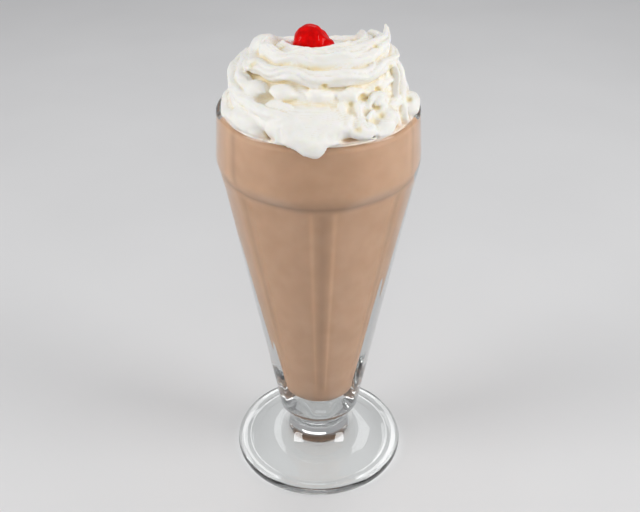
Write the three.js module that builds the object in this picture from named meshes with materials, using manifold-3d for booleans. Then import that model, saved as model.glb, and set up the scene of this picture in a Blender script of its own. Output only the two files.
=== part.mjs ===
// A milkshake in a footed soda-fountain glass, topped with piped whipped cream and a cherry.
// Millimetres, +Z up, the origin on the table under the middle of the foot, -Y towards the front.
// Every turn is an angle in degrees from the front, growing towards +X.

import * as THREE from "three";
import { mergeVertices } from "three/addons/utils/BufferGeometryUtils.js";
import Module from "manifold-3d";

// Clearance between pieces that touch
const CLEARANCE = 0.3;

// Foot and stem of the glass
const FOOT_RADIUS = 42.8;
const FOOT_EDGE_HEIGHT = 5;
const FOOT_REST_INNER = 34;
const FOOT_REST_OUTER = 40.4;
const FOOT_HOLLOW = 5;
const FOOT_RING_RADIUS = 36.6;
const FOOT_RING_HEIGHT = 3.9;
const FOOT_DOME_RADIUS = 26;
const FOOT_DOME_HEIGHT = 7.5;
const STEM_RADIUS = 13.5;
const STEM_HEIGHT = 21;

// Bowl of the glass, outside
const BOWL_BASE_RADIUS = 20.4;
const BOWL_BASE_HEIGHT = 30;
const BOWL_BASE_ROUNDING = 1.2;
const BODY_TOP_RADIUS = 43.5;
const SHOULDER_LOW = 160;
const COLLAR_RADIUS = 44.7;
const SHOULDER_HIGH = 169;
const RIM_RADIUS = 43.3;
const RIM_HEIGHT = 190;
const LIP_ROUNDING = 1.3;

// Bowl of the glass, inside
const CAVITY_RIM_RADIUS = 40.7;
const CAVITY_COLLAR_RADIUS = 41.3;
const CAVITY_BODY_RADIUS = 37.8;
const CAVITY_WAIST_RADIUS = 17;
const CAVITY_WAIST_HEIGHT = 50;
const CAVITY_FLOOR = 39.5;
const CAVITY_FLOOR_RADIUS = 8;

// Flat panels round the body
const PANEL_COUNT = 6;
const PANEL_HALF_WIDTH = 21;
const PANEL_TURN = 33;
const PANEL_FADE = 12;
const PANEL_FADE_STEPS = 3;
const GLASS_SEGMENTS = 60;

// Drink
const DRINK_LEVEL = 186.6;
const DRINK_SEGMENTS = 40;

// Whipped cream
const CREAM_BASE = DRINK_LEVEL + CLEARANCE;
const MOUND_SKIRT = 38.5;
const MOUND_WAIST = 24;
const MOUND_TOP = 217;
const MOUND_SEGMENTS = 24;
const SIDES_PER_RIDGE = 3;
const ROPE_STEP = 13;
const ROPE_STEPS_LEAST = 6;

// Strokes of the piping bag. Turn, reach from the axis, height and thickness run from start to end of a
// stroke, depth flattens its arc front to back, and ridge is the share of the thickness its ridges take.
const STROKES = {
  upperRound: {
    turn: [-165, 112], reach: [15.5, 23], height: [204.5, 209.5], depth: 0.83,
    thick: [9, 10.2], swell: 1.3, end: 0.05, ridges: 8, ridge: 0.1, twist: 0,
  },
  upperBack: {
    turn: [95, 215], reach: [22, 16], height: [204, 203], depth: 0.9,
    thick: [9, 9], end: 0.1, ridges: 8, ridge: 0.1, twist: 20,
  },
  slopingLeft: {
    turn: [-112, -22], reach: [28.5, 35], height: [202.6, 195.5],
    thick: [8.4, 6], end: 0.1, ridges: 6, ridge: 0.06, twist: 30,
  },
  lowerBack: {
    turn: [-232, -76], reach: [29, 29], height: [195, 195],
    thick: [9, 8.5], end: 0.08, ridges: 7, ridge: 0.09, twist: 60,
  },
  lowerRight: {
    turn: [40, 150], reach: [30, 28], height: [194, 195],
    thick: [7.6, 9], end: 0.09, ridges: 7, ridge: 0.09, twist: -90,
  },
  risingRight: {
    turn: [64, 74], reach: [33, 27.5], height: [187, 205],
    thick: [7.4, 6.6], end: 0.2, ridges: 8, ridge: 0.1, twist: 20,
  },
  drawnUpTip: {
    turn: [20, 101], reach: [16, 28.4], belly: 2, height: [209.5, 221],
    thick: [8.4, 0.5], end: 0.03, ridges: 6, ridge: 0.1, twist: 40,
  },
  risingBack: {
    turn: [100, 178], reach: [27, 15], height: [217.6, 207],
    thick: [3.2, 8.4], end: 0.05, ridges: 6, ridge: 0.1, twist: 50,
  },
  againstLeftWall: {
    turn: [-125, -40], reach: [35.5, 35], height: [192.5, 191],
    thick: [6.2, 5.6], end: 0.1, ridges: 5, ridge: 0.06, twist: 50,
  },
};

// Soft lumps: the lobe at the front, its tongue and its lap over the lip, the lump at the left, the clump
// at the right and the hump
const LUMPS = [
  { place: [-1, -32.5, 194.2], size: [19.5, 8.6, 7.6], tilt: -22 },
  { place: [-4, -37.5, 191.6], size: [12, 6, 6.6], tilt: -10 },
  { place: [-3.6, -41, 190.2], size: [6.4, 3.4, 4.6], tilt: 16 },
  { place: [-27.5, -22.5, 193], size: [9.6, 8.6, 7.2], turn: -45 },
  { place: [14, -30.5, 196.5], size: [8, 6, 6.5] },
  { place: [24, -25, 195.8], size: [8, 7, 6.5] },
  { place: [17.4, -35, 194.2], size: [7, 4.4, 4.4], turn: 25 },
  { place: [25.6, -30.5, 192.2], size: [5, 4.2, 3.8], turn: 38 },
  { place: [37, -8, 193.6], size: [5.6, 7.6, 5.4] },
  { place: [-22, 7, 209], size: [8, 8.5, 8.8] },
];

// Small curls in the clump at the right
const CURLS = [
  { place: [12.6, -31.5, 200.6], radius: 3.7, thick: 2, tilt: 58, turn: 8 },
  { place: [23.2, -26.5, 199.2], radius: 3.9, thick: 1.9, tilt: 58, turn: 30 },
];

// Cherry: balls about its centre that melt into one uneven fruit
const CHERRY_CENTRE = new THREE.Vector3(-1.6, 0, 215.6);
const CHERRY_BALLS = [
  { x: -1.8, y: 0.2, z: 0.9, radius: 7.2 },
  { x: 4.2, y: -0.8, z: -1.6, radius: 5 },
  { x: 1.4, y: 3, z: -0.4, radius: 5.2 },
];
const CHERRY_BLEND = 0.55;

const wasm = await Module();
wasm.setup();

const radians = THREE.MathUtils.degToRad;
const mix = THREE.MathUtils.lerp;

// One closed solid from a geometry, its doubled points joined
function solid(geometry) {
  const bare = new THREE.BufferGeometry();
  bare.setAttribute("position", geometry.getAttribute("position"));
  bare.setIndex(geometry.index);
  const joined = mergeVertices(bare, 1e-4);
  const vertProperties = new Float32Array(joined.getAttribute("position").array);
  const triVerts = new Uint32Array(joined.index.array);
  return new wasm.Manifold(new wasm.Mesh({ numProp: 3, vertProperties, triVerts }));
}

function geometryOf(body) {
  const { vertProperties, triVerts } = body.getMesh();
  const geometry = new THREE.BufferGeometry();
  geometry.setAttribute("position", new THREE.BufferAttribute(vertProperties, 3));
  geometry.setIndex(new THREE.BufferAttribute(triVerts, 1));
  geometry.computeVertexNormals();
  return geometry;
}

// Points of several runs of a profile, one after the other, without doubled ends
function joinRuns(runs) {
  const points = [];
  for (const run of runs) {
    for (const point of run) {
      const last = points[points.length - 1];
      if (!last || last.distanceTo(point) > 1e-3) points.push(point);
    }
  }
  return points;
}

// A profile turned round the upright axis, starting at the front
function turned(points, segments) {
  const geometry = new THREE.LatheGeometry(points, segments);
  return geometry.rotateX(Math.PI / 2);
}

// Glass: underside, edge and top of the foot, then the stem
function footRun() {
  const path = new THREE.Path();
  path.moveTo(0, FOOT_HOLLOW);
  path.quadraticCurveTo(FOOT_REST_INNER * 0.6, FOOT_HOLLOW, FOOT_REST_INNER, 0);
  path.lineTo(FOOT_REST_OUTER, 0);
  path.quadraticCurveTo(FOOT_RADIUS, 0, FOOT_RADIUS, FOOT_EDGE_HEIGHT * 0.5);
  path.quadraticCurveTo(FOOT_RADIUS, FOOT_EDGE_HEIGHT, FOOT_REST_OUTER, FOOT_EDGE_HEIGHT);
  path.quadraticCurveTo(FOOT_RING_RADIUS + 1, FOOT_EDGE_HEIGHT, FOOT_RING_RADIUS, FOOT_RING_HEIGHT);
  const domeTop = FOOT_DOME_HEIGHT + 1;
  path.bezierCurveTo(FOOT_DOME_RADIUS, FOOT_DOME_HEIGHT, STEM_RADIUS, domeTop, STEM_RADIUS, STEM_HEIGHT);
  return path.getPoints(3);
}

// Glass: the round under the bowl, the sloping body and the shoulder that swells to the collar
function bodyRun() {
  const path = new THREE.Path();
  path.moveTo(STEM_RADIUS, STEM_HEIGHT);
  const rounding = BOWL_BASE_ROUNDING;
  const edgeHeight = BOWL_BASE_HEIGHT - rounding;
  path.quadraticCurveTo(STEM_RADIUS, edgeHeight - rounding, BOWL_BASE_RADIUS - rounding, edgeHeight);
  path.quadraticCurveTo(BOWL_BASE_RADIUS, edgeHeight, BOWL_BASE_RADIUS, BOWL_BASE_HEIGHT);
  for (let step = 1; step <= PANEL_FADE_STEPS; step++) {
    const height = BOWL_BASE_HEIGHT + (PANEL_FADE * step) / PANEL_FADE_STEPS;
    const upwards = (height - BOWL_BASE_HEIGHT) / (SHOULDER_LOW - BOWL_BASE_HEIGHT);
    path.lineTo(mix(BOWL_BASE_RADIUS, BODY_TOP_RADIUS, upwards), height);
  }
  path.lineTo(BODY_TOP_RADIUS, SHOULDER_LOW);
  path.quadraticCurveTo(COLLAR_RADIUS, SHOULDER_LOW + 4, COLLAR_RADIUS, SHOULDER_HIGH);
  return path.getPoints(3);
}

// Glass: the collar and its rounded lip
function collarRun() {
  const path = new THREE.Path();
  path.moveTo(COLLAR_RADIUS, SHOULDER_HIGH);
  path.lineTo(RIM_RADIUS, RIM_HEIGHT - LIP_ROUNDING);
  path.absarc(RIM_RADIUS - LIP_ROUNDING, RIM_HEIGHT - LIP_ROUNDING, LIP_ROUNDING, 0, Math.PI, false);
  return path.getPoints(3);
}

// Inside wall from the rim down to the middle of the floor, moved inwards by an inset
function cavityRun(inset, top) {
  const path = new THREE.Path();
  path.moveTo(CAVITY_RIM_RADIUS - inset, top);
  path.lineTo(CAVITY_COLLAR_RADIUS - inset, SHOULDER_HIGH);
  const collar = CAVITY_COLLAR_RADIUS - inset;
  const waist = CAVITY_WAIST_RADIUS - inset;
  const floor = CAVITY_FLOOR + inset;
  path.quadraticCurveTo(collar, SHOULDER_LOW + 4, CAVITY_BODY_RADIUS - inset, SHOULDER_LOW);
  path.lineTo(waist, CAVITY_WAIST_HEIGHT);
  path.quadraticCurveTo(waist - 1.5, floor, CAVITY_FLOOR_RADIUS, floor);
  path.lineTo(0, floor);
  return path.getPoints(4);
}

// How far the body is cut back to its flat panel at a turn: 1 on the round edges between panels
function panelCut(turn) {
  const pitch = 360 / PANEL_COUNT;
  const offset = THREE.MathUtils.euclideanModulo(turn - PANEL_TURN + pitch / 2, pitch) - pitch / 2;
  return Math.min(1, Math.cos(radians(PANEL_HALF_WIDTH)) / Math.cos(radians(offset)));
}

// How fully the panels show at a height: they fade out in the shoulder and towards the round base of the bowl
function panelShare(height) {
  const above = 1 - THREE.MathUtils.smoothstep(height, SHOULDER_LOW, SHOULDER_HIGH);
  const below = THREE.MathUtils.smoothstep(height, BOWL_BASE_HEIGHT, BOWL_BASE_HEIGHT + PANEL_FADE);
  return above * below;
}

function glassGeometry() {
  const foot = footRun();
  const body = bodyRun();
  const points = joinRuns([foot, body, collarRun(), cavityRun(0, RIM_HEIGHT - LIP_ROUNDING)]);
  const first = foot.length - 1;
  const last = first + body.length - 1;
  const geometry = turned(points, GLASS_SEGMENTS);
  const position = geometry.getAttribute("position");
  for (let segment = 0; segment <= GLASS_SEGMENTS; segment++) {
    const cut = panelCut((segment * 360) / GLASS_SEGMENTS);
    for (let row = first; row <= last; row++) {
      const place = segment * points.length + row;
      const scale = mix(1, cut, panelShare(points[row].y));
      position.setX(place, position.getX(place) * scale);
      position.setY(place, position.getY(place) * scale);
    }
  }
  return geometryOf(solid(geometry));
}

function drinkGeometry() {
  const wall = cavityRun(CLEARANCE, DRINK_LEVEL);
  const points = joinRuns([[new THREE.Vector2(0, DRINK_LEVEL)], wall]);
  return geometryOf(solid(turned(points.reverse(), DRINK_SEGMENTS)));
}

// A stroke of the piping bag: an arc round the axis whose reach, height and thickness change on the way
class Stroke extends THREE.Curve {
  constructor(sizes) {
    super();
    this.sizes = { belly: 0, swell: 0, depth: 1, ...sizes };
  }

  getPoint(t, target = new THREE.Vector3()) {
    const { turn, reach, height, belly, depth } = this.sizes;
    const angle = radians(mix(turn[0], turn[1], t));
    const distance = mix(reach[0], reach[1], t) + belly * Math.sin(Math.PI * t);
    const x = distance * Math.sin(angle);
    const y = -distance * Math.cos(angle) * depth;
    return target.set(x, y, mix(height[0], height[1], t));
  }

  // Radius of the rope along it, with rounded ends, and across a ridge, with a sharp crease at 0
  radius(t, acrossRidge) {
    const { thick, swell, ridge, end } = this.sizes;
    const fromEnd = Math.min(1, t / end, (1 - t) / end);
    const rounding = Math.max(0.15, Math.sqrt(1 - (1 - fromEnd) ** 2));
    const crease = 1 - 2 * Math.abs(Math.sin(acrossRidge / 2));
    return (mix(thick[0], thick[1], t) + swell * Math.sin(Math.PI * t)) * rounding * (1 - ridge * crease);
  }
}

// A closed rope along a stroke, built ring by ring, its ridges winding slowly round it
function ropeGeometry(sizes) {
  const stroke = new Stroke(sizes);
  const sides = sizes.ridges * SIDES_PER_RIDGE;
  const steps = Math.max(ROPE_STEPS_LEAST, Math.ceil((sizes.turn[1] - sizes.turn[0]) / ROPE_STEP));
  const up = new THREE.Vector3(0, 0, 1);
  const positions = [];
  const index = [];
  for (let step = 0; step <= steps; step++) {
    const t = step / steps;
    const along = stroke.getTangent(t);
    const out = new THREE.Vector3().crossVectors(along, up).normalize();
    const rise = new THREE.Vector3().crossVectors(out, along);
    for (let side = 0; side < sides; side++) {
      const round = (2 * Math.PI * side - radians(sizes.twist * t) * SIDES_PER_RIDGE) / sides;
      const radius = stroke.radius(t, (2 * Math.PI * side) / SIDES_PER_RIDGE);
      const point = stroke.getPoint(t);
      point.addScaledVector(out, radius * Math.cos(round));
      point.addScaledVector(rise, radius * Math.sin(round));
      positions.push(point.x, point.y, point.z);
    }
  }
  for (let step = 0; step < steps; step++) {
    for (let side = 0; side < sides; side++) {
      const next = (side + 1) % sides;
      const here = step * sides;
      const ahead = here + sides;
      index.push(here + side, ahead + side, ahead + next);
      index.push(here + side, ahead + next, here + next);
    }
  }
  const startCentre = positions.length / 3;
  const endCentre = startCentre + 1;
  for (const t of [0, 1]) positions.push(...stroke.getPoint(t).toArray());
  for (let side = 0; side < sides; side++) {
    const next = (side + 1) % sides;
    const lastRing = steps * sides;
    index.push(startCentre, side, next);
    index.push(endCentre, lastRing + next, lastRing + side);
  }
  const geometry = new THREE.BufferGeometry();
  geometry.setAttribute("position", new THREE.Float32BufferAttribute(positions, 3));
  geometry.setIndex(index);
  return geometry;
}

// A smooth lump of cream, an egg shape given by its place, its three half sizes, its tilt and its turn
function lumpGeometry({ place, size, tilt = 0, turn = 0 }) {
  const geometry = new THREE.SphereGeometry(1, 14, 9);
  geometry.scale(...size).rotateX(radians(tilt)).rotateZ(radians(turn));
  return geometry.translate(...place);
}

// A small curl of cream that closes on itself
function curlGeometry({ place, radius, thick, tilt, turn }) {
  const geometry = new THREE.TorusGeometry(radius, thick, 6, 12);
  geometry.rotateX(radians(tilt)).rotateZ(radians(turn));
  return geometry.translate(...place);
}

// Space taken by the glass and the drink, grown by the clearance, which the cream keeps clear of
function keptClear() {
  const path = new THREE.Path();
  const lip = LIP_ROUNDING + CLEARANCE;
  path.moveTo(0, SHOULDER_HIGH);
  path.lineTo(COLLAR_RADIUS + CLEARANCE, SHOULDER_HIGH);
  path.lineTo(RIM_RADIUS + CLEARANCE, RIM_HEIGHT - LIP_ROUNDING);
  path.absarc(RIM_RADIUS - LIP_ROUNDING, RIM_HEIGHT - LIP_ROUNDING, lip, 0, Math.PI, false);
  path.lineTo(CAVITY_RIM_RADIUS - CLEARANCE, CREAM_BASE);
  path.lineTo(0, CREAM_BASE);
  return solid(turned(joinRuns([path.getPoints(6)]), GLASS_SEGMENTS));
}

// Distance from the cherry's centre to its skin in a direction: overlapping balls, softly blended
function cherryReach(direction) {
  let sum = 0;
  for (const ball of CHERRY_BALLS) {
    const middle = new THREE.Vector3(ball.x, ball.y, ball.z);
    const along = middle.dot(direction);
    const inside = ball.radius ** 2 - middle.lengthSq() + along ** 2;
    if (inside > 0) sum += Math.exp((along + Math.sqrt(inside)) / CHERRY_BLEND);
  }
  return CHERRY_BLEND * Math.log(sum);
}

function cherryGeometry(growth) {
  const geometry = new THREE.SphereGeometry(1, 24, 16).rotateX(Math.PI / 2);
  const position = geometry.getAttribute("position");
  const direction = new THREE.Vector3();
  for (let place = 0; place < position.count; place++) {
    direction.fromBufferAttribute(position, place).normalize();
    const point = direction.clone().multiplyScalar(cherryReach(direction) + growth);
    point.add(CHERRY_CENTRE);
    position.setXYZ(place, point.x, point.y, point.z);
  }
  return geometry;
}

// The mound under the ropes, spreading over the drink at its bottom
function moundGeometry() {
  const path = new THREE.Path();
  path.moveTo(0, CREAM_BASE - 2);
  path.lineTo(MOUND_SKIRT, CREAM_BASE - 2);
  path.lineTo(MOUND_SKIRT, CREAM_BASE + 1.5);
  path.bezierCurveTo(MOUND_WAIST, CREAM_BASE + 3, MOUND_WAIST, MOUND_TOP, 0, MOUND_TOP);
  return turned(joinRuns([path.getPoints(4)]), MOUND_SEGMENTS);
}

function creamGeometry() {
  const parts = [moundGeometry()];
  for (const sizes of Object.values(STROKES)) parts.push(ropeGeometry(sizes));
  for (const sizes of LUMPS) parts.push(lumpGeometry(sizes));
  for (const sizes of CURLS) parts.push(curlGeometry(sizes));
  let cream = solid(parts[0]);
  for (const part of parts.slice(1)) cream = cream.add(solid(part));
  cream = cream.subtract(keptClear()).subtract(solid(cherryGeometry(CLEARANCE)));
  return geometryOf(cream);
}

function piece(name, geometry, colour, roughness) {
  const material = new THREE.MeshStandardMaterial({ color: colour, roughness, metalness: 0 });
  material.name = name;
  const mesh = new THREE.Mesh(geometry, material);
  mesh.name = name;
  return mesh;
}

const milkshake = new THREE.Group();
milkshake.name = "milkshake_glass";
milkshake.add(piece("glass", glassGeometry(), "#dfe6e4", 0.05));
milkshake.add(piece("milkshake", drinkGeometry(), "#b6957a", 0.45));
milkshake.add(piece("whipped_cream", creamGeometry(), "#f3efe6", 0.55));
milkshake.add(piece("cherry", cherryGeometry(0), "#c40d12", 0.2));

export default milkshake;
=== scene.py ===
"""A milkshake in a footed soda-fountain glass, with piped whipped cream and a cherry.

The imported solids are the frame. Each of the four nodes is replaced by a finer piece of the same form: the
glass, the drink in it, the cream and the cherry. Sizes are in millimetres up to the point where a mesh is
made, in metres. Every turn is an angle in degrees from the front, which is -Y, growing towards +X.
"""

import math

import bpy
import numpy as np
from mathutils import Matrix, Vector


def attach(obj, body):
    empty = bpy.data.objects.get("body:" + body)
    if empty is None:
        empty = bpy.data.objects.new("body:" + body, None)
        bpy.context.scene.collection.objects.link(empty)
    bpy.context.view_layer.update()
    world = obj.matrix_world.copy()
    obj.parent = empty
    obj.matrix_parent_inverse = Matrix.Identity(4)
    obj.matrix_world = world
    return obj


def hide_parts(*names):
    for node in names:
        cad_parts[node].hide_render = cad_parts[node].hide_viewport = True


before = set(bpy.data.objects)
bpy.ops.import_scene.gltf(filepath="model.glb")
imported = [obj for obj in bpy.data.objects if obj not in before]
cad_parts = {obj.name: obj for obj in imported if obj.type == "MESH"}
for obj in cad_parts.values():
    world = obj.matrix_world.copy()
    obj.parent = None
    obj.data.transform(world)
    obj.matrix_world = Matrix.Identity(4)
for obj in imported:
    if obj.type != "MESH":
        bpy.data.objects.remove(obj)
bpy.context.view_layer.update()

MM = 0.001
SEED = 41

# Glass
FOOT_RADIUS = 42.8
FOOT_EDGE_HEIGHT = 5.0
FOOT_REST_INNER = 34.0
FOOT_REST_OUTER = 40.4
FOOT_HOLLOW = 5.0
FOOT_RING_RADIUS = 36.6
FOOT_RING_HEIGHT = 3.9
FOOT_DOME_RADIUS = 26.0
FOOT_DOME_HEIGHT = 7.5
STEM_RADIUS = 13.5
STEM_HEIGHT = 21.0
STEM_ROUNDING = 2.0
BOWL_BASE_RADIUS = 20.4
BOWL_BASE_HEIGHT = 30.0
BOWL_BASE_ROUNDING = 1.2
BODY_TOP_RADIUS = 43.5
SHOULDER_LOW = 160.0
SHOULDER_BEND = 4
COLLAR_RADIUS = 44.7
SHOULDER_HIGH = 169.0
RIM_RADIUS = 43.3
RIM_HEIGHT = 190.0
LIP_ROUNDING = 1.3
CAVITY_RIM_RADIUS = 40.7
CAVITY_COLLAR_RADIUS = 41.3
CAVITY_BODY_RADIUS = 37.8
CAVITY_WAIST_RADIUS = 16.3
CAVITY_WAIST_HEIGHT = 46.0
CAVITY_FLOOR = 39.5
CAVITY_FLOOR_RADIUS = 11.5
CAVITY_CORNER_STEP = 0.8
PANEL_COUNT = 6
PANEL_HALF_WIDTH = 21.0
PANEL_TURN = 33.0
PANEL_FADE = 12.0
PANEL_EDGE_SOFTNESS = 0.004
GLASS_SEGMENTS = 240

# How strongly the glass bends light at a height in metres
GLASS_BENDING = ((0.036, 1.5), (0.052, 1.1), (0.186, 1.1), (0.189, 1.04))

# Drink
DRINK_LEVEL = 187.0
DRINK_WALL_LEVEL = 188.5
RISE_START = 3
RISE_BEND = 1
FILM_RISE = 0.7
FILM_TURNS = (50, 80)
DRINK_SEGMENTS = 360
DRINK_WALL_ROWS = 100
INTO_WALL = 0.12
SHADE_LINE = 159.8
RIM_SHADE_LINE = 187.3

# Heights between which the strips begin and end
STRIP_START_HEIGHTS = (42, 55)
STRIP_END_HEIGHTS = (SHOULDER_LOW - 4, SHOULDER_LOW)

# Painted shade of the drink behind each strip of the glass, where the glass bends the light: in a strip at
# the bottom and what is added higher up, and painted light along the edges of a strip
STRIP_SHADE = 0.09
STRIP_SHADE_ADDED = 0.07
STRIP_ADDED_HEIGHTS = (50, 90)
STRIP_WIDTH = 4.2
STRIP_EDGE = 7.5
STRIP_EDGE_WIDTH = 1.3
STRIP_EDGE_LIGHT = 0.09

# Painted shade and light in level bands at the shoulder, where the glass bends the light: height above the
# shade line, width and change of the shade
SHOULDER_BANDS = ((0, 1.1, -0.22), (5, 2.2, 0.06), (11, 1.6, -0.07))

# Painted shade under the rim: at the right, and what is added from the front to the left
RIM_SHADE = 0.1
RIM_SHADE_ADDED = 0.22
RIM_SHADE_TURNS = (5, 45)
RIM_SHADE_WIDTH = 0.9

# Painted reflections of the collar glass, as upright light and dark bands: turn, width and change of the
# shade
COLLAR_BANDS = ((-56, 2.4, -0.17), (-63, 2.8, 0.08), (63, 2.0, 0.06), (68, 1.8, -0.12))

# Heights between which those bands begin
COLLAR_START_HEIGHTS = (SHADE_LINE + 1, SHADE_LINE + 7)

# How the light on the drink follows the strips and panels of the glass: angle from a strip and lean
STRIP_ANGLES = (0, 4.5, 7.5, 10, 30)
STRIP_LEANS = (0, 8, 40, 20, 30)

# Cream
CREAM_BASE = 186.4
CREAM_STEP = 0.6
CREAM_LOW = (-44.5, -46.5, 180.5)
CREAM_HIGH = (45.5, 42.5, 224.0)
FAR_INSIDE = -99
LAP_REACH = 42.6
LAP_MIDDLE = -3.0
LAP_HALF_WIDTH = 11.0
HEAP_RADIUS = 29.3
HEAP_MIDDLE = 188
SKIRT_RADIUS = 42.0
SKIRT_TOP = 189.6
SKIRT_BLEND = 3.0
FINE_RIDGE = 0.24
STREAK_LENGTH = 7
STREAK_WIDTH = 1.5
STREAK_DEPTH = 0.22
LONG_WAVE = 4.1
SHORT_WAVE = 1.9
FOLD_DEPTH = 0.08
PIT_DEPTH = 0.8
PIT_BLEND = 0.5
# How strongly painted warm shade fills the air pits
PIT_SHADE_STRENGTH = 0.8
HOLLOW_BLEND = 1.6
GLASS_GAP = 0.1
LIP_EDGE = 0.6
FOAM_HEIGHTS = (188.2, 192.5)
FOAM_REACH = CAVITY_RIM_RADIUS + 0.7
FOAM_LEAST = 0.2
FOAM_ADDED = 0.8
CLUMP_PLACE = (19, -30, 196)
CLUMP_SIZE = (13, 9, 8)
CLUMP_DEPTH = 0.5
CLUMP_SHIFT = 1.2
CURL_COUNT = 11
CURL_TURNS = (17, 50)
CURL_HEIGHTS = (192.5, 200.5)
CURL_REACH = 38.2

# Random unevenness of the cream: amount, length and seed
WANDERS = ((1.1, 11.0, 30), (0.35, 4.5, 40))
RIPPLES = ((0.25, 5.0, 20), (0.14, 2.2, 21))
FOLDS = ((1, 4.6, 22), (0.5, 2.4, 23))

# Piped strokes: turn, reach from the axis, height and thickness run from the first to the second value
STROKES = {
    "upper_round": dict(
        turn=(-165, 112), reach=(15.5, 23), height=(204.5, 209), depth=0.83, thick=(9, 9.0), swell=1.9,
        ridges=8, ridge=0.19, twist=0, wave=0.34, blend=0.5,
    ),
    "upper_back": dict(
        turn=(95, 215), reach=(22, 16), height=(204, 203), depth=0.9, thick=(8.6, 8.6),
        ridges=8, ridge=0.18, twist=20, wave=0.3, blend=0.5,
    ),
    "sloping_left": dict(
        turn=(-112, -22), reach=(28.5, 34), height=(203.2, 196.6), thick=(7.8, 5.4),
        ridges=6, ridge=0.13, twist=30, wave=0.3, blend=0.5,
    ),
    "lower_back": dict(
        turn=(-232, -76), reach=(28, 27), height=(195, 194.5), thick=(9, 8.5),
        ridges=7, ridge=0.16, twist=60, wave=0.3, blend=0.6,
    ),
    "lower_right": dict(
        turn=(40, 150), reach=(30, 28), height=(194, 195), thick=(7.6, 9),
        ridges=7, ridge=0.16, twist=-90, wave=0.3, blend=0.6,
    ),
    "rising_right": dict(
        turn=(64, 74), reach=(33, 27.5), height=(187, 205), thick=(7.4, 6.6),
        ridges=10, ridge=0.24, twist=20, wave=0.2, blend=0.5,
    ),
    "drawn_up_tip": dict(
        turn=(20, 101), reach=(16, 28.4), belly=2, height=(209.5, 222.6), thick=(8.4, 0.6),
        ridges=6, ridge=0.19, twist=40, wave=0.3, blend=0.7,
    ),
    "rising_back": dict(
        turn=(178, 100), reach=(15, 26), height=(202, 214.6), thick=(7.2, 3.0),
        ridges=6, ridge=0.16, twist=50, wave=0.3, blend=1.0,
    ),
    "against_left_wall": dict(
        turn=(-125, -40), reach=(36.5, 36), height=(189.6, 189.4), thick=(5.2, 5.0),
        ridges=5, ridge=0.12, twist=50, wave=0.4, blend=0.5,
    ),
}
LUMPS = [
    dict(place=(-1, -32.5, 194.2), size=(19.5, 8.6, 7.6), tilt=-22, blend=0.7),
    dict(place=(-4, -37.5, 191.6), size=(12, 6, 6.6), tilt=-10, blend=4.5),
    dict(place=(-3.6, -41.2, 191.2), size=(8.6, 3.0, 3.4), tilt=12, blend=3.0),
    dict(place=(-4.0, -43.0, 189.2), size=(3.4, 1.6, 2.8), tilt=6, blend=3.4),
    dict(place=(-26.6, -22.8, 191.8), size=(10.4, 7.2, 6.8), turn=-45, blend=0.4),
    dict(place=(-24, -20.5, 203.8), size=(5, 4, 3.4), blend=1.2),
    dict(place=(-13.5, -25.5, 204.6), size=(5.6, 4, 3.2), blend=1.2),
    dict(place=(1, -26.5, 204.4), size=(6, 4.2, 3.4), blend=1.2),
    dict(place=(12, -26, 204.2), size=(5.6, 4, 3.2), turn=15, blend=1.2),
    dict(place=(2, -27.5, 200.8), size=(14, 3.4, 2.8), blend=1.5),
    dict(place=(14, -29.4, 194.8), size=(8, 6, 6.0), blend=0.8),
    dict(place=(24, -24.2, 194.2), size=(8, 7, 6.0), blend=0.8),
    dict(place=(17.4, -35, 193.4), size=(7, 4.2, 3.8), turn=25, blend=0.8),
    dict(place=(25.6, -30.5, 191.8), size=(5, 4.2, 3.6), turn=38, blend=0.6),
    dict(place=(37, -8, 193.6), size=(5.6, 7.6, 5.4), blend=0.8),
    dict(place=(-21.4, 7, 209.4), size=(8, 8.5, 9.0), blend=1.6),
]

# Places where air left a small pit in the cream, with its width
PITS = [
    (-26.3, -13.8, 212.2, 1.6), (2.4, -27.3, 208.6, 1.3), (17.7, -25.1, 203.0, 1.5),
    (23.3, -20.4, 204.2, 1.6), (22.4, -13.9, 219.7, 1.1), (28.5, -15.7, 211.7, 1.3),
    (12.6, -29.7, 201.8, 1.3), (36.7, -13.6, 197.7, 1.3), (24.7, -29.7, 197.1, 1.3),
    (15.1, -38.8, 195.3, 1.1), (23.1, -27.1, 199.3, 1.0), (-14.5, -7.1, 217.1, 1.1),
]

# Hollows left between the strokes: place and half widths
HOLLOWS = [
    (-20.0, -25.5, 202.4, 4.6, 3.0, 1.8), (17.5, -28.0, 203.6, 2.4, 3.0, 1.6),
]

# Cherry
CHERRY_CENTRE = np.array([-1.6, 0.0, 215.6])
CHERRY_BALLS = [(-1.8, 0.2, 0.9, 7.2), (4.2, -0.8, -1.6, 5.0), (1.4, 3.0, -0.4, 5.2)]
CHERRY_BLEND = 0.55
CHERRY_RADIUS = 8

# Dents of the cherry: amount, length and seed
CHERRY_DENTS = ((0.55, 4.2, 50), (0.22, 1.9, 51))

# Camera, solved from the rim, shoulder and foot in the photograph
CAMERA_PLACE = (0.00064, -0.3444, 0.3287)
CAMERA_PITCH = 31.9
CAMERA_LENS = 48.64

# Floor and lights
FLOOR_SIZE = 6000
FLOOR_DROP = 0.0001
LIGHT_AIM = (0, 0, 0.12)


# Mesh helpers
def mesh_piece(name, verts, faces):
    mesh = bpy.data.meshes.new(name)
    mesh.from_pydata((np.asarray(verts) * MM).tolist(), [], faces)
    mesh.update()
    piece = bpy.data.objects.new(name, mesh)
    bpy.context.scene.collection.objects.link(piece)
    return piece


def store(mesh, name, values):
    """Keeps a value for each point of a mesh, for its material."""
    layer = mesh.attributes.new(name, "FLOAT", "POINT")
    layer.data.foreach_set("value", np.asarray(values, np.float32))


def shade_smooth(piece):
    mesh = piece.data
    mesh.polygons.foreach_set("use_smooth", np.ones(len(mesh.polygons), bool))
    mesh.update()


def points_of(mesh):
    flat = np.empty(len(mesh.vertices) * 3)
    mesh.vertices.foreach_get("co", flat)
    return flat.reshape(-1, 3) / MM


def set_points(mesh, points):
    mesh.vertices.foreach_set("co", (points * MM).ravel())
    mesh.update()


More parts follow.
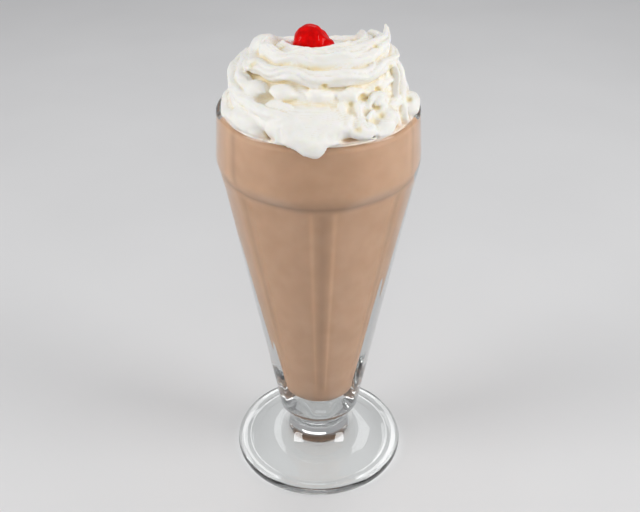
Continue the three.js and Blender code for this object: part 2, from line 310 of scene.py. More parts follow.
def normals_of(mesh):
    flat = np.empty(len(mesh.vertices) * 3, np.float32)
    mesh.vertex_normals.foreach_get("vector", flat)
    return flat.reshape(-1, 3)


def turned(rows, segments):
    """A profile of (radius, height) rows turned round the axis. A row on the axis is one point."""
    verts = []
    rings = []
    angles = 2 * np.pi * np.arange(segments) / segments
    for radius, height in rows:
        first = len(verts)
        if radius < 1e-6:
            verts.append((0.0, 0.0, height))
            rings.append([first] * segments)
        else:
            verts.extend(zip(radius * np.sin(angles), -radius * np.cos(angles), [height] * segments))
            rings.append(list(range(first, first + segments)))
    faces = []
    for low, high in zip(rings, rings[1:]):
        for k in range(segments):
            n = (k + 1) % segments
            face = [low[k], low[n], high[n], high[k]]
            faces.append(tuple(dict.fromkeys(face)))
    return np.array(verts), faces


def quadratic(a, b, c, count):
    t = np.linspace(0, 1, count + 1)[:, None]
    return (1 - t) ** 2 * np.array(a) + 2 * t * (1 - t) * np.array(b) + t ** 2 * np.array(c)


def cubic(a, b, c, d, count):
    t = np.linspace(0, 1, count + 1)[:, None]
    start = (1 - t) ** 3 * np.array(a) + 3 * t * (1 - t) ** 2 * np.array(b)
    return start + 3 * t ** 2 * (1 - t) * np.array(c) + t ** 3 * np.array(d)


def straight(a, b, count):
    t = np.linspace(0, 1, count + 1)[:, None]
    return (1 - t) * np.array(a) + t * np.array(b)


def joined_rows(*runs):
    rows = [tuple(runs[0][0])]
    for run in runs:
        for row in run:
            if math.dist(rows[-1], row) > 1e-4:
                rows.append(tuple(row))
    return rows


def smoothstep(value, low, high):
    t = np.clip((value - low) / (high - low), 0, 1)
    return t * t * (3 - 2 * t)


# Glass
def cavity_rows(inset, top, wall_rows):
    """The inside wall from the rim down to the middle of the floor, moved inwards by an inset."""
    collar = CAVITY_COLLAR_RADIUS - inset
    body = CAVITY_BODY_RADIUS - inset
    waist = CAVITY_WAIST_RADIUS - inset
    corner = CAVITY_WAIST_RADIUS - CAVITY_CORNER_STEP - inset
    floor = CAVITY_FLOOR + inset
    return joined_rows(
        straight((CAVITY_RIM_RADIUS - inset, top), (collar, SHOULDER_HIGH), 6),
        quadratic(
            (collar, SHOULDER_HIGH), (collar, SHOULDER_LOW + SHOULDER_BEND), (body, SHOULDER_LOW), 10,
        ),
        straight((body, SHOULDER_LOW), (waist, CAVITY_WAIST_HEIGHT), wall_rows),
        quadratic((waist, CAVITY_WAIST_HEIGHT), (corner, floor), (CAVITY_FLOOR_RADIUS, floor), 14),
        straight((CAVITY_FLOOR_RADIUS, floor), (0, floor), 4),
    )


def panel_cut(turn):
    """Share of the round body's radius that the flat panels leave, with softened edges."""
    pitch = 360 / PANEL_COUNT
    offset = np.mod(turn - PANEL_TURN + pitch / 2, pitch) - pitch / 2
    flat = np.cos(np.radians(PANEL_HALF_WIDTH)) / np.cos(np.radians(offset))
    soft = PANEL_EDGE_SOFTNESS
    return 1 - soft * np.log(1 + np.exp((1 - flat) / soft))


def make_glass():
    foot = joined_rows(
        quadratic((0, FOOT_HOLLOW), (FOOT_REST_INNER * 0.6, FOOT_HOLLOW), (FOOT_REST_INNER, 0), 14),
        straight((FOOT_REST_INNER, 0), (FOOT_REST_OUTER, 0), 2),
        quadratic((FOOT_REST_OUTER, 0), (FOOT_RADIUS, 0), (FOOT_RADIUS, FOOT_EDGE_HEIGHT / 2), 8),
        quadratic(
            (FOOT_RADIUS, FOOT_EDGE_HEIGHT / 2), (FOOT_RADIUS, FOOT_EDGE_HEIGHT),
            (FOOT_REST_OUTER, FOOT_EDGE_HEIGHT), 8,
        ),
        quadratic(
            (FOOT_REST_OUTER, FOOT_EDGE_HEIGHT), (FOOT_RING_RADIUS + 1, FOOT_EDGE_HEIGHT),
            (FOOT_RING_RADIUS, FOOT_RING_HEIGHT), 8,
        ),
        cubic(
            (FOOT_RING_RADIUS, FOOT_RING_HEIGHT), (FOOT_DOME_RADIUS, FOOT_DOME_HEIGHT),
            (STEM_RADIUS, FOOT_DOME_HEIGHT + 1), (STEM_RADIUS, STEM_HEIGHT), 24,
        ),
    )
    edge_height = BOWL_BASE_HEIGHT - BOWL_BASE_ROUNDING
    edge_radius = BOWL_BASE_RADIUS - BOWL_BASE_ROUNDING
    body = joined_rows(
        straight((STEM_RADIUS, STEM_HEIGHT), (STEM_RADIUS, edge_height - STEM_ROUNDING), 4),
        quadratic(
            (STEM_RADIUS, edge_height - STEM_ROUNDING), (STEM_RADIUS, edge_height),
            (STEM_RADIUS + STEM_ROUNDING, edge_height), 8,
        ),
        straight((STEM_RADIUS + STEM_ROUNDING, edge_height), (edge_radius, edge_height), 3),
        quadratic(
            (edge_radius, edge_height), (BOWL_BASE_RADIUS, edge_height),
            (BOWL_BASE_RADIUS, BOWL_BASE_HEIGHT), 6,
        ),
        straight((BOWL_BASE_RADIUS, BOWL_BASE_HEIGHT), (BODY_TOP_RADIUS, SHOULDER_LOW), 52),
        quadratic(
            (BODY_TOP_RADIUS, SHOULDER_LOW), (COLLAR_RADIUS, SHOULDER_LOW + SHOULDER_BEND),
            (COLLAR_RADIUS, SHOULDER_HIGH), 14,
        ),
    )
    lip_radius = RIM_RADIUS - LIP_ROUNDING
    lip_height = RIM_HEIGHT - LIP_ROUNDING
    lip = []
    for angle in np.linspace(0, math.pi, 15):
        across = LIP_ROUNDING * math.cos(angle)
        lip.append((lip_radius + across, lip_height + LIP_ROUNDING * math.sin(angle)))
    collar = joined_rows(
        straight((COLLAR_RADIUS, SHOULDER_HIGH), (RIM_RADIUS, RIM_HEIGHT - LIP_ROUNDING), 8), lip,
    )
    rows = joined_rows(foot, body, collar, cavity_rows(0, RIM_HEIGHT - LIP_ROUNDING, 24))
    verts, faces = turned(rows, GLASS_SEGMENTS)
    turn = np.degrees(np.arctan2(verts[:, 0], -verts[:, 1]))
    height = verts[:, 2]
    first = 1 + (len(foot) - 2) * GLASS_SEGMENTS
    last = first + len(body) * GLASS_SEGMENTS
    outer = np.zeros(len(verts), bool)
    outer[first:last] = True
    above = 1 - smoothstep(height, SHOULDER_LOW, SHOULDER_HIGH)
    below = smoothstep(height, BOWL_BASE_HEIGHT, BOWL_BASE_HEIGHT + PANEL_FADE)
    scale = np.where(outer, 1 + above * below * (panel_cut(turn) - 1), 1)
    verts[:, 0] *= scale
    verts[:, 1] *= scale
    piece = mesh_piece("clear_glass", verts, faces)
    shade_smooth(piece)
    return piece


# Drink
def strip_offset(turn):
    """Angle from the middle of the nearest upright strip between two flat panels."""
    pitch = 360 / PANEL_COUNT
    return np.mod(turn - PANEL_TURN, pitch) - pitch / 2


def make_drink():
    wall = cavity_rows(-INTO_WALL, DRINK_WALL_LEVEL, DRINK_WALL_ROWS)
    top = straight((0, DRINK_LEVEL), (CAVITY_RIM_RADIUS - RISE_START, DRINK_LEVEL), 12)
    rise = quadratic(
        (CAVITY_RIM_RADIUS - RISE_START, DRINK_LEVEL), (CAVITY_RIM_RADIUS - RISE_BEND, DRINK_LEVEL),
        (CAVITY_RIM_RADIUS + INTO_WALL, DRINK_WALL_LEVEL), 6,
    )
    rows = joined_rows(top, rise, wall)
    verts, faces = turned(rows[::-1], DRINK_SEGMENTS)
    top_edge = verts[:, 2] > DRINK_WALL_LEVEL - 0.05
    side = np.abs(np.degrees(np.arctan2(verts[:, 0], -verts[:, 1])))
    verts[top_edge, 2] += FILM_RISE * smoothstep(side[top_edge], *FILM_TURNS)
    piece = mesh_piece("drink", verts, faces)
    shade_smooth(piece)
    points = points_of(piece.data)
    normals = normals_of(piece.data).astype(float)
    turn = np.degrees(np.arctan2(points[:, 0], -points[:, 1]))
    height = points[:, 2]
    share = (1 - smoothstep(height, *STRIP_END_HEIGHTS)) * smoothstep(height, *STRIP_START_HEIGHTS)
    offset = strip_offset(turn)
    bent = np.interp(np.abs(offset), STRIP_ANGLES, STRIP_LEANS) * np.sign(offset)
    lean = np.radians(share * (bent - offset))
    x = normals[:, 0] * np.cos(lean) - normals[:, 1] * np.sin(lean)
    y = normals[:, 0] * np.sin(lean) + normals[:, 1] * np.cos(lean)
    piece.data.normals_split_custom_set_from_vertices(np.stack([x, y, normals[:, 2]], axis=1).tolist())
    # Painted shade behind the middle of each strip and painted light along its edges
    strip = STRIP_SHADE + STRIP_SHADE_ADDED * smoothstep(height, *STRIP_ADDED_HEIGHTS)
    level = 1 - strip * share * np.exp(-(offset / STRIP_WIDTH) ** 2)
    level += STRIP_EDGE_LIGHT * share * np.exp(-((np.abs(offset) - STRIP_EDGE) / STRIP_EDGE_WIDTH) ** 2)
    # Painted dark and light bands at the shoulder
    for above, width, change in SHOULDER_BANDS:
        level += change * np.exp(-((height - SHADE_LINE - above) / width) ** 2)
    # Painted reflections: upright light and dark bands in the collar
    collar = smoothstep(height, *COLLAR_START_HEIGHTS)
    for middle, width, change in COLLAR_BANDS:
        level += change * collar * np.exp(-((turn - middle) / width) ** 2)
    # Painted shade under the rim, darkest from the front to the left
    rim_shade = RIM_SHADE + RIM_SHADE_ADDED * (1 - smoothstep(turn, *RIM_SHADE_TURNS))
    level -= rim_shade * np.exp(-((height - RIM_SHADE_LINE) / RIM_SHADE_WIDTH) ** 2)
    # All this painted light and shade is kept in the mesh for the drink's colour
    store(piece.data, "shade", level)
    return piece


# Cream
def grain(points, length, seed):
    """Smooth random values between -1 and 1 that change over about the given length."""
    table = np.random.default_rng(SEED + seed).uniform(-1, 1, (32, 32, 32))
    scaled = points / length
    base = np.floor(scaled).astype(int)
    part = scaled - base
    part = part * part * (3 - 2 * part)
    total = np.zeros(len(points))
    for corner in np.ndindex(2, 2, 2):
        weight = np.prod(np.where(corner, part, 1 - part), axis=1)
        total += weight * table[tuple(((base + corner) % 32).T)]
    return total


def layered(points, layers):
    """A sum of grains, each with its own amount, length and seed."""
    return sum(amount * grain(points, length, seed) for amount, length, seed in layers)


def rotations(tilt, turn):
    a = math.radians(tilt)
    b = math.radians(turn)
    tilting = np.array([[1, 0, 0], [0, math.cos(a), -math.sin(a)], [0, math.sin(a), math.cos(a)]])
    turning = np.array([[math.cos(b), -math.sin(b), 0], [math.sin(b), math.cos(b), 0], [0, 0, 1]])
    return tilting, turning


def placed(points, tilt, turn, place):
    tilting, turning = rotations(tilt, turn)
    return points @ tilting.T @ turning.T + np.array(place)


def unplaced(points, tilt, turn, place):
    tilting, turning = rotations(tilt, turn)
    return (points - np.array(place)) @ turning @ tilting


def stroke_points(sizes, t):
    angle = np.radians(sizes["turn"][0] + (sizes["turn"][1] - sizes["turn"][0]) * t)
    reach = sizes["reach"][0] + (sizes["reach"][1] - sizes["reach"][0]) * t
    reach = reach + sizes.get("belly", 0) * np.sin(np.pi * t)
    x = reach * np.sin(angle)
    y = -reach * np.cos(angle) * sizes.get("depth", 1)
    z = sizes["height"][0] + (sizes["height"][1] - sizes["height"][0]) * t
    points = np.stack([x, y, z], axis=-1)
    if "place" in sizes:
        points = placed(points, sizes["tilt"], sizes["lean"], sizes["place"])
    return points


def stroke_field(points, sizes, seed, samples=160):
    """Distance outside the skin of a ridged, piped stroke."""
    t = np.linspace(0, 1, samples)
    centre = stroke_points(sizes, t)
    nearest = np.empty(len(points), int)
    for chunk in np.array_split(np.arange(len(points)), max(1, len(points) // 60000)):
        dots = points[chunk] @ centre.T
        nearest[chunk] = np.argmin((centre ** 2).sum(1) - 2 * dots, axis=1)
    small = 1e-4
    run = (stroke_points(sizes, t + small) - stroke_points(sizes, t - small)) / (2 * small)
    speed = np.linalg.norm(run, axis=1)
    along = run / speed[:, None]
    lift = np.array([0, 0, 1.0])
    if "place" in sizes:
        lift = placed(lift[None], sizes["tilt"], sizes["lean"], (0, 0, 0))[0]
    out = np.cross(along, lift)
    out /= np.linalg.norm(out, axis=1)[:, None]
    rise = np.cross(out, along)
    ahead = ((points - centre[nearest]) * along[nearest]).sum(1) / speed[nearest]
    where = np.clip(t[nearest] + ahead, 0, 1)
    offset = points - stroke_points(sizes, where)
    reach = np.linalg.norm(offset, axis=1)
    around = np.arctan2((offset * rise[nearest]).sum(1), (offset * out[nearest]).sum(1))
    thick = sizes["thick"][0] + (sizes["thick"][1] - sizes["thick"][0]) * where
    thick = thick + sizes.get("swell", 0) * np.sin(np.pi * where)
    length = speed.mean()
    wave = np.sin(length * where / LONG_WAVE + seed) + 0.7 * np.sin(length * where / SHORT_WAVE + 2 * seed)
    across = sizes["ridges"] * around + np.radians(sizes["twist"]) * where + sizes["wave"] * wave
    crease = 1 - 2 * np.abs(np.sin(across / 2))
    crease = crease + FINE_RIDGE * (1 - 2 * np.abs(np.sin(1.5 * across + wave)))
    layer = np.full(len(points), seed)
    streak_place = np.stack([length * where / STREAK_LENGTH, thick * around / STREAK_WIDTH, layer], axis=1)
    streak = grain(streak_place, 1.0, seed)
    return reach - thick * (1 - sizes["ridge"] * crease) - STREAK_DEPTH * streak


def lump_field(points, sizes):
    size = np.array(sizes["size"])
    scaled = unplaced(points, sizes.get("tilt", 0), sizes.get("turn", 0), sizes["place"]) / size
    first = np.linalg.norm(scaled, axis=1)
    second = np.linalg.norm(scaled / size, axis=1)
    return first * (first - 1) / np.maximum(second, 1e-6)


def mound_field(points):
    """The heap under the strokes."""
    radius = np.hypot(points[:, 0], points[:, 1])
    heap = np.hypot(radius, points[:, 2] - HEAP_MIDDLE) - HEAP_RADIUS
    skirt = np.maximum(radius - SKIRT_RADIUS, points[:, 2] - SKIRT_TOP + 0.5 * np.cos(radius / 3))
    return united(heap, skirt, SKIRT_BLEND)


def united(first, second, blend):
    share = np.clip(0.5 + 0.5 * (second - first) / blend, 0, 1)
    return second + (first - second) * share - blend * share * (1 - share)


def within(points, path, margin):
    """Which points lie in the box round a path, widened by a margin."""
    return np.all((points > np.min(path, 0) - margin) & (points < np.max(path, 0) + margin), axis=1)


def wandering(points, length, seed):
    """Slow random shifts in all three directions."""
    return np.stack([grain(points, length, seed + k) for k in range(3)], axis=1)


def curls():
    """Short curled strokes heaped in the clump at the right."""
    chance = np.random.default_rng(SEED)
    strokes = []
    for _ in range(CURL_COUNT):
        turn = chance.uniform(*CURL_TURNS)
        height = chance.uniform(*CURL_HEIGHTS)
        reach = CURL_REACH - 0.45 * (height - RIM_HEIGHT)
        start = chance.uniform(0, 360)
        angle = math.radians(turn)
        strokes.append(dict(
            turn=(start, start + chance.uniform(120, 230)),
            reach=(chance.uniform(2.8, 4.4), chance.uniform(2.0, 3.2)),
            height=(-1.2, 1.2),
            thick=(chance.uniform(1.9, 2.7), chance.uniform(1.1, 1.7)),
            place=(reach * math.sin(angle), -reach * math.cos(angle), height),
            tilt=chance.uniform(25, 80),
            lean=turn + chance.uniform(-30, 30),
            ridges=4, ridge=0.12, twist=90, wave=0.3, blend=0.4,
        ))
    return strokes


def cream_field(points):
    clump = np.exp(-(((points - np.array(CLUMP_PLACE)) / np.array(CLUMP_SIZE)) ** 2).sum(1))
    shifts = [amount * wandering(points, length, seed) for amount, length, seed in WANDERS]
    for shift in shifts:
        points = points + shift
    messy = clump > 0.02
    points[messy] += CLUMP_SHIFT * clump[messy, None] * wandering(points[messy], 4.2, 60)
    field = mound_field(points)
    for seed, sizes in enumerate([*STROKES.values(), *curls()]):
        path = stroke_points(sizes, np.linspace(0, 1, 60))
        close = within(points, path, max(sizes["thick"]) * 1.5 + 4)
        field[close] = united(field[close], stroke_field(points[close], sizes, seed), sizes["blend"])
    for sizes in LUMPS:
        place = np.array([sizes["place"]])
        close = within(points, place, max(sizes["size"]) + 6)
        field[close] = united(field[close], lump_field(points[close], sizes), sizes["blend"])
    band = np.abs(field) < 3
    near = points[band]
    folds = sum(amount * (1 - 3 * np.abs(grain(near, length, seed))) for amount, length, seed in FOLDS)
    field[band] -= layered(near, RIPPLES) + (FOLD_DEPTH + CLUMP_DEPTH * clump[band]) * folds
    return field


def carved(field, points, places):
    for x, y, z, width in places:
        centre = np.array([[x, y, z]])
        close = within(points, centre, width + 3)
        pit = np.linalg.norm(points[close] - centre, axis=1) - PIT_DEPTH * width
        field[close] = -united(-field[close], pit, PIT_BLEND)
    return field


def skin(field, origin, step):
    """The zero surface of a field of distances on a grid, as vertices and quads."""
    inside = field < 0
    cells = tuple(n - 1 for n in field.shape)
    total = np.zeros((*cells, 3), np.float32)
    count = np.zeros(cells, np.float32)
    crossings = []
    for axis in range(3):
        low = tuple(slice(0, -1) if k == axis else slice(None) for k in range(3))
        high = tuple(slice(1, None) if k == axis else slice(None) for k in range(3))
        cross = inside[low] != inside[high]
        share = np.where(cross, field[low] / np.where(cross, field[low] - field[high], 1), 0)
        others = [k for k in range(3) if k != axis]
        crossings.append((axis, others, cross, inside[low]))
        for shift in np.ndindex(2, 2):
            window = [slice(None)] * 3
            for k, d in zip(others, shift):
                window[k] = slice(d, d + cells[k])
            hit = cross[tuple(window)]
            count += hit
            total[..., axis] += share[tuple(window)]
            for k, d in zip(others, shift):
                total[..., k] += hit * d
    used = count > 0
    number = np.full(cells, -1)
    number[used] = np.arange(used.sum())
    corner = np.argwhere(used)
    verts = (corner + total[used] / count[used][:, None]) * step + origin
    faces = []
    for axis, others, cross, low_inside in crossings:
        place = np.argwhere(cross)
        ok = np.all([(place[:, k] > 0) & (place[:, k] < cells[k]) for k in others], axis=0)
        place = place[ok]
        ring = []
        for shift in ((1, 1), (0, 1), (0, 0), (1, 0)):
            cell = place.copy()
            for k, d in zip(others, shift):
                cell[:, k] -= d
            ring.append(number[tuple(cell.T)])
        quads = np.stack(ring, axis=1)
        flip = low_inside[tuple(place.T)] == (axis == 1)
        quads[flip] = quads[flip][:, ::-1]
        faces.append(quads)
    return verts, np.concatenate(faces)


def blurred(grid, cells):
    """Mean over a cube of the given half width."""
    for axis in range(3):
        pad = [(cells + 1, cells) if k == axis else (0, 0) for k in range(3)]
        run = np.cumsum(np.pad(grid, pad, mode="edge"), axis=axis)
        high = tuple(slice(2 * cells + 1, None) if k == axis else slice(None) for k in range(3))
        low = tuple(slice(0, -(2 * cells + 1)) if k == axis else slice(None) for k in range(3))
        grid = (run[high] - run[low]) / (2 * cells + 1)
    return grid


def smoothed(mesh, rounds, share=0.5):
    edges = np.empty(len(mesh.edges) * 2, int)
    mesh.edges.foreach_get("vertices", edges)
    a, b = edges.reshape(-1, 2).T
    ends = np.concatenate([a, b])
    others = np.concatenate([b, a])
    points = points_of(mesh)
    count = np.bincount(ends, minlength=len(points))[:, None]
    for _ in range(rounds):
        sums = [np.bincount(ends, points[others, axis], len(points)) for axis in range(3)]
        points += share * (np.stack(sums, axis=1) / count - points)
    set_points(mesh, points)


def make_cream():
    low = np.array(CREAM_LOW)
    counts = np.ceil((np.array(CREAM_HIGH) - low) / CREAM_STEP).astype(int)
    steps = np.meshgrid(*[np.arange(n) for n in counts], indexing="ij")
    points = low + np.stack(steps, -1).reshape(-1, 3) * CREAM_STEP
    shaped = carved(cream_field(points), points, PITS)
    for x, y, z, *size in HOLLOWS:
        place = np.array([[x, y, z]])
        close = within(points, place, max(size) + 4)
        hollow = lump_field(points[close], dict(place=(x, y, z), size=size))
        shaped[close] = -united(-shaped[close], hollow, HOLLOW_BLEND)
    radius = np.hypot(points[:, 0], points[:, 1])
    height = points[:, 2]
    wall = np.maximum.reduce([
        CAVITY_RIM_RADIUS + GLASS_GAP - radius,
        radius - RIM_RADIUS + GLASS_GAP,
        height - RIM_HEIGHT + GLASS_GAP,
    ])
    floor = np.where(radius < LAP_REACH, CREAM_BASE - height, FAR_INSIDE)
    beside = np.abs(points[:, 0] - LAP_MIDDLE) > LAP_HALF_WIDTH
    beside_lap = np.where(beside, radius - RIM_RADIUS + LIP_EDGE, FAR_INSIDE)
    shaped = np.maximum.reduce([shaped, -wall, floor, beside_lap])
    grid = shaped.reshape(counts)
    verts, quads = skin(grid, low, CREAM_STEP)
    full = (grid < 0).astype(np.float32)
    cell = np.clip(((verts - low) / CREAM_STEP).astype(int), 0, counts - 1)
    piece = mesh_piece("piped_cream", verts, quads.tolist())
    smoothed(piece.data, 1)
    # Painted shade: how much cream lies round each point, which darkens and warms the colour in hollows and
    # creases
    store(piece.data, "hollow", blurred(full, 5)[tuple(cell.T)])
    store(piece.data, "crease", blurred(full, 2)[tuple(cell.T)])
    # Painted warm shade in the air pits, where bounced light turns yellow
    pit_shade = np.zeros(len(verts))
    for x, y, z, width in PITS:
        away = np.linalg.norm(verts - np.array([x, y, z]), axis=1) + 0.5 * grain(verts, 1.5, 80)
        pit_shade = np.maximum(pit_shade, np.exp(-np.maximum(away / width, 0) ** 2))
    store(piece.data, "pit_shade", PIT_SHADE_STRENGTH * pit_shade)
    inside = np.hypot(verts[:, 0], verts[:, 1]) < FOAM_REACH
    low_down = 1 - smoothstep(verts[:, 2], *FOAM_HEIGHTS)
    patches = FOAM_LEAST + FOAM_ADDED * smoothstep(grain(verts, 6.0, 70), -0.3, 0.4)
    store(piece.data, "foam", inside * low_down * patches)
    shade_smooth(piece)
    return piece


# Cherry
def ball(rings, segments):
    heights = np.cos(np.linspace(math.pi, 0, rings + 1))
    rows = [(math.sqrt(max(0.0, 1 - h * h)), h) for h in heights]
    rows[0] = (0.0, -1.0)
    rows[-1] = (0.0, 1.0)
    return turned(rows, segments)


def cherry_reach(directions):
    total = np.zeros(len(directions))
    for x, y, z, radius in CHERRY_BALLS:
        middle = np.array([x, y, z])
        along = directions @ middle
        inside = radius ** 2 - middle @ middle + along ** 2
        hit = inside > 0
        total[hit] += np.exp((along[hit] + np.sqrt(inside[hit])) / CHERRY_BLEND)
    return CHERRY_BLEND * np.log(total)


def make_cherry():
    directions, faces = ball(64, 96)
    reach = cherry_reach(directions)
    dents = layered(directions * CHERRY_RADIUS, CHERRY_DENTS)
    verts = directions * (reach + dents)[:, None] + CHERRY_CENTRE
    piece = mesh_piece("red_cherry", verts, faces)
    shade_smooth(piece)
    return piece


# Materials
def new_material(name):
    material = bpy.data.materials.new(name)
    material.use_nodes = True
    return material, material.node_tree, material.node_tree.nodes["Principled BSDF"]


def ramp(tree, source, stops):
    node = tree.nodes.new("ShaderNodeValToRGB")
    elements = node.color_ramp.elements
    while len(elements) < len(stops):
        elements.new(0.5)
    for element, (place, colour) in zip(elements, stops):
        element.position = place
        element.color = (*colour, 1)
    tree.links.new(source, node.inputs["Fac"])
    return node.outputs["Color"]


def noise_node(tree, scale, detail):
    coordinates = tree.nodes.new("ShaderNodeTexCoord")
    node = tree.nodes.new("ShaderNodeTexNoise")
    node.inputs["Scale"].default_value = scale
    node.inputs["Detail"].default_value = detail
    tree.links.new(coordinates.outputs["Object"], node.inputs["Vector"])
    return node.outputs["Fac"]


def attribute(tree, name):
    node = tree.nodes.new("ShaderNodeAttribute")
    node.attribute_name = name
    return node.outputs["Fac"]


def scaled_by(tree, colour, name):
    """A colour made lighter or darker by a value stored in the mesh."""
    node = tree.nodes.new("ShaderNodeVectorMath")
    node.operation = "SCALE"
    tree.links.new(colour, node.inputs[0])
    tree.links.new(attribute(tree, name), node.inputs["Scale"])
    return node.outputs["Vector"]


def mixed(tree, share, first, second):
    node = tree.nodes.new("ShaderNodeMix")
    node.data_type = "RGBA"
    tree.links.new(share, node.inputs["Factor"])
    for socket, colour in ((node.inputs["A"], first), (node.inputs["B"], second)):
        if isinstance(colour, tuple):
            socket.default_value = (*colour, 1)
        else:
            tree.links.new(colour, socket)
    return node.outputs["Result"]


def height_of(tree, stops):
    """A value that follows the height in metres, straight between the stops."""
    place = tree.nodes.new("ShaderNodeTexCoord")
    split = tree.nodes.new("ShaderNodeSeparateXYZ")
    tree.links.new(place.outputs["Object"], split.inputs[0])
    value = None
    for (low, first), (high, second) in zip(stops, stops[1:]):
        piece = tree.nodes.new("ShaderNodeMapRange")
        piece.inputs["From Min"].default_value = low
        piece.inputs["From Max"].default_value = high
        piece.inputs["To Min"].default_value = first if value is None else 0.0
        piece.inputs["To Max"].default_value = second if value is None else second - first
        tree.links.new(split.outputs["Z"], piece.inputs["Value"])
        if value is None:
            value = piece.outputs["Result"]
        else:
            total = tree.nodes.new("ShaderNodeMath")
            tree.links.new(value, total.inputs[0])
            tree.links.new(piece.outputs["Result"], total.inputs[1])
            value = total.outputs[0]
    return value


def glass_material():
    material, tree, shader = new_material("glass")
    shader.inputs["Base Color"].default_value = (0.94, 0.945, 0.945, 1)
    shader.inputs["Roughness"].default_value = 0.0
    tree.links.new(height_of(tree, GLASS_BENDING), shader.inputs["IOR"])
    shader.inputs["Coat Weight"].default_value = 1.0
    shader.inputs["Coat IOR"].default_value = 1.5
    shader.inputs["Coat Roughness"].default_value = 0.0
    dim = tree.nodes.new("ShaderNodeVolumeAbsorption")
    dim.inputs["Color"].default_value = (0.66, 0.675, 0.675, 1)
    dim.inputs["Density"].default_value = 22.0
    tree.links.new(dim.outputs[0], tree.nodes["Material Output"].inputs["Volume"])
    shader.inputs["Transmission Weight"].default_value = 1.0
    through = tree.nodes.new("ShaderNodeBsdfTransparent")
    through.inputs["Color"].default_value = (0.86, 0.87, 0.87, 1)
    path = tree.nodes.new("ShaderNodeLightPath")
    mix = tree.nodes.new("ShaderNodeMixShader")
    tree.links.new(path.outputs["Is Shadow Ray"], mix.inputs[0])
    tree.links.new(shader.outputs[0], mix.inputs[1])
    tree.links.new(through.outputs[0], mix.inputs[2])
    tree.links.new(mix.outputs[0], tree.nodes["Material Output"].inputs["Surface"])
    return material


def drink_material():
    material, tree, shader = new_material("milkshake")
    cloud = noise_node(tree, 120.0, 3.0)
    colour = ramp(tree, cloud, [(0.3, (0.51, 0.301, 0.178)), (0.7, (0.56, 0.339, 0.21))])
    # The drink's colour is scaled by its painted light and shade
    tree.links.new(scaled_by(tree, colour, "shade"), shader.inputs["Base Color"])
    shader.inputs["Roughness"].default_value = 0.5
    shader.inputs["Specular IOR Level"].default_value = 0.1
    shader.inputs["Subsurface Weight"].default_value = 0.3
    shader.inputs["Subsurface Radius"].default_value = (1.0, 0.6, 0.4)
    shader.inputs["Subsurface Scale"].default_value = 0.002
    return material


def cream_material():
    material, tree, shader = new_material("cream")
    cloud = noise_node(tree, 260.0, 3.0)
    white = ramp(tree, cloud, [(0.3, (0.94, 0.915, 0.85)), (0.7, (0.97, 0.95, 0.90))])
    # Painted shade along the creases
    line = ramp(tree, attribute(tree, "crease"), [(0.55, (0, 0, 0)), (0.78, (0.8, 0.8, 0.8))])
    crease_shaded = mixed(tree, line, white, (0.83, 0.78, 0.66))
    # Painted warm shade in the hollows
    hollow_shade = ramp(tree, attribute(tree, "hollow"), [(0.56, (0, 0, 0)), (0.8, (1, 1, 1))])
    hollow_shaded = mixed(tree, hollow_shade, crease_shaded, (0.92, 0.81, 0.58))
    # Painted warm shade in the pits
    pit_shaded = mixed(tree, attribute(tree, "pit_shade"), hollow_shaded, (0.88, 0.72, 0.30))
    colour = mixed(tree, attribute(tree, "foam"), pit_shaded, (0.87, 0.66, 0.51))
    tree.links.new(colour, shader.inputs["Base Color"])
    shader.inputs["Roughness"].default_value = 0.5
    shader.inputs["Subsurface Weight"].default_value = 0.4
    shader.inputs["Subsurface Radius"].default_value = (1.0, 0.8, 0.5)
    shader.inputs["Subsurface Scale"].default_value = 0.0008
    return material


def cherry_material():
    material, tree, shader = new_material("cherry")
    cloud = noise_node(tree, 300.0, 2.0)
    colour = ramp(tree, cloud, [(0.3, (0.5, 0.0, 0.0)), (0.7, (0.85, 0.001, 0.001))])
    tree.links.new(colour, shader.inputs["Base Color"])
    shader.inputs["Roughness"].default_value = 0.3
    shader.inputs["Subsurface Weight"].default_value = 0.15
    shader.inputs["Subsurface Radius"].default_value = (1.0, 0.15, 0.1)
    shader.inputs["Subsurface Scale"].default_value = 0.002
    shader.inputs["Specular IOR Level"].default_value = 0.01
    shader.inputs["Coat Weight"].default_value = 0.2
    shader.inputs["Coat Roughness"].default_value = 0.03
    return material


def floor_material():
    material, tree, shader = new_material("floor")
    cloud = noise_node(tree, 6.0, 2.0)
    colour = ramp(tree, cloud, [(0.3, (0.74, 0.74, 0.74)), (0.7, (0.77, 0.77, 0.77))])
    tree.links.new(colour, shader.inputs["Base Color"])
    shader.inputs["Roughness"].default_value = 0.6
    return material


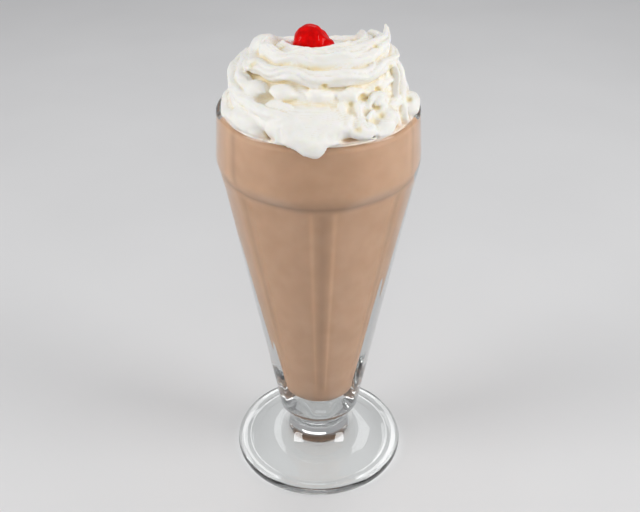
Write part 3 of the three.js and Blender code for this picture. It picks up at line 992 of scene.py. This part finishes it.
# Stage
def area_light(name, place, target, size, power):
    light = bpy.data.lights.new(name, "AREA")
    light.shape = "RECTANGLE"
    light.size = size[0]
    light.size_y = size[1]
    light.energy = power
    lamp = bpy.data.objects.new(name, light)
    lamp.location = place
    lamp.rotation_euler = (Vector(target) - Vector(place)).to_track_quat("-Z", "Y").to_euler()
    bpy.context.scene.collection.objects.link(lamp)
    return lamp


def make_stage():
    scene = bpy.context.scene
    lens = bpy.data.cameras.new("camera")
    lens.sensor_width = 36
    lens.lens = CAMERA_LENS
    camera = bpy.data.objects.new("camera", lens)
    camera.location = CAMERA_PLACE
    camera.rotation_euler = (math.radians(90 - CAMERA_PITCH), 0, 0)
    scene.collection.objects.link(camera)
    scene.camera = camera
    world = bpy.data.worlds.new("studio")
    world.use_nodes = True
    background = world.node_tree.nodes["Background"]
    background.inputs["Color"].default_value = (0.8, 0.8, 0.82, 1)
    background.inputs["Strength"].default_value = 0.5
    scene.world = world
    area_light("left_softbox", (-0.9, -0.28, 0.62), LIGHT_AIM, (0.5, 0.7), 5.2)
    area_light("right_softbox", (0.9, -0.28, 0.62), LIGHT_AIM, (0.5, 0.7), 5.8)
    area_light("back_softbox", (0.1, 0.8, 0.8), LIGHT_AIM, (0.5, 0.3), 1.2)
    fill = area_light("front_fill", (0, -1.0, 0.7), (0, 0, 0.18), (0.5, 0.5), 0.8)
    fill.visible_glossy = False
    fill.visible_transmission = False
    half = FLOOR_SIZE / 2
    corners = [(-half, -half, 0), (half, -half, 0), (half, half, 0), (-half, half, 0)]
    floor = mesh_piece("floor", corners, [(0, 1, 2, 3)])
    floor.location.z = -FLOOR_DROP
    floor.data.materials.append(floor_material())
    scene.view_settings.view_transform = "Standard"


def dress(piece, node, material):
    piece.data.materials.append(material)
    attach(piece, "root")
    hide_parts(node)


def main():
    make_stage()
    dress(make_glass(), "glass", glass_material())
    dress(make_drink(), "milkshake", drink_material())
    dress(make_cream(), "whipped_cream", cream_material())
    dress(make_cherry(), "cherry", cherry_material())


main()
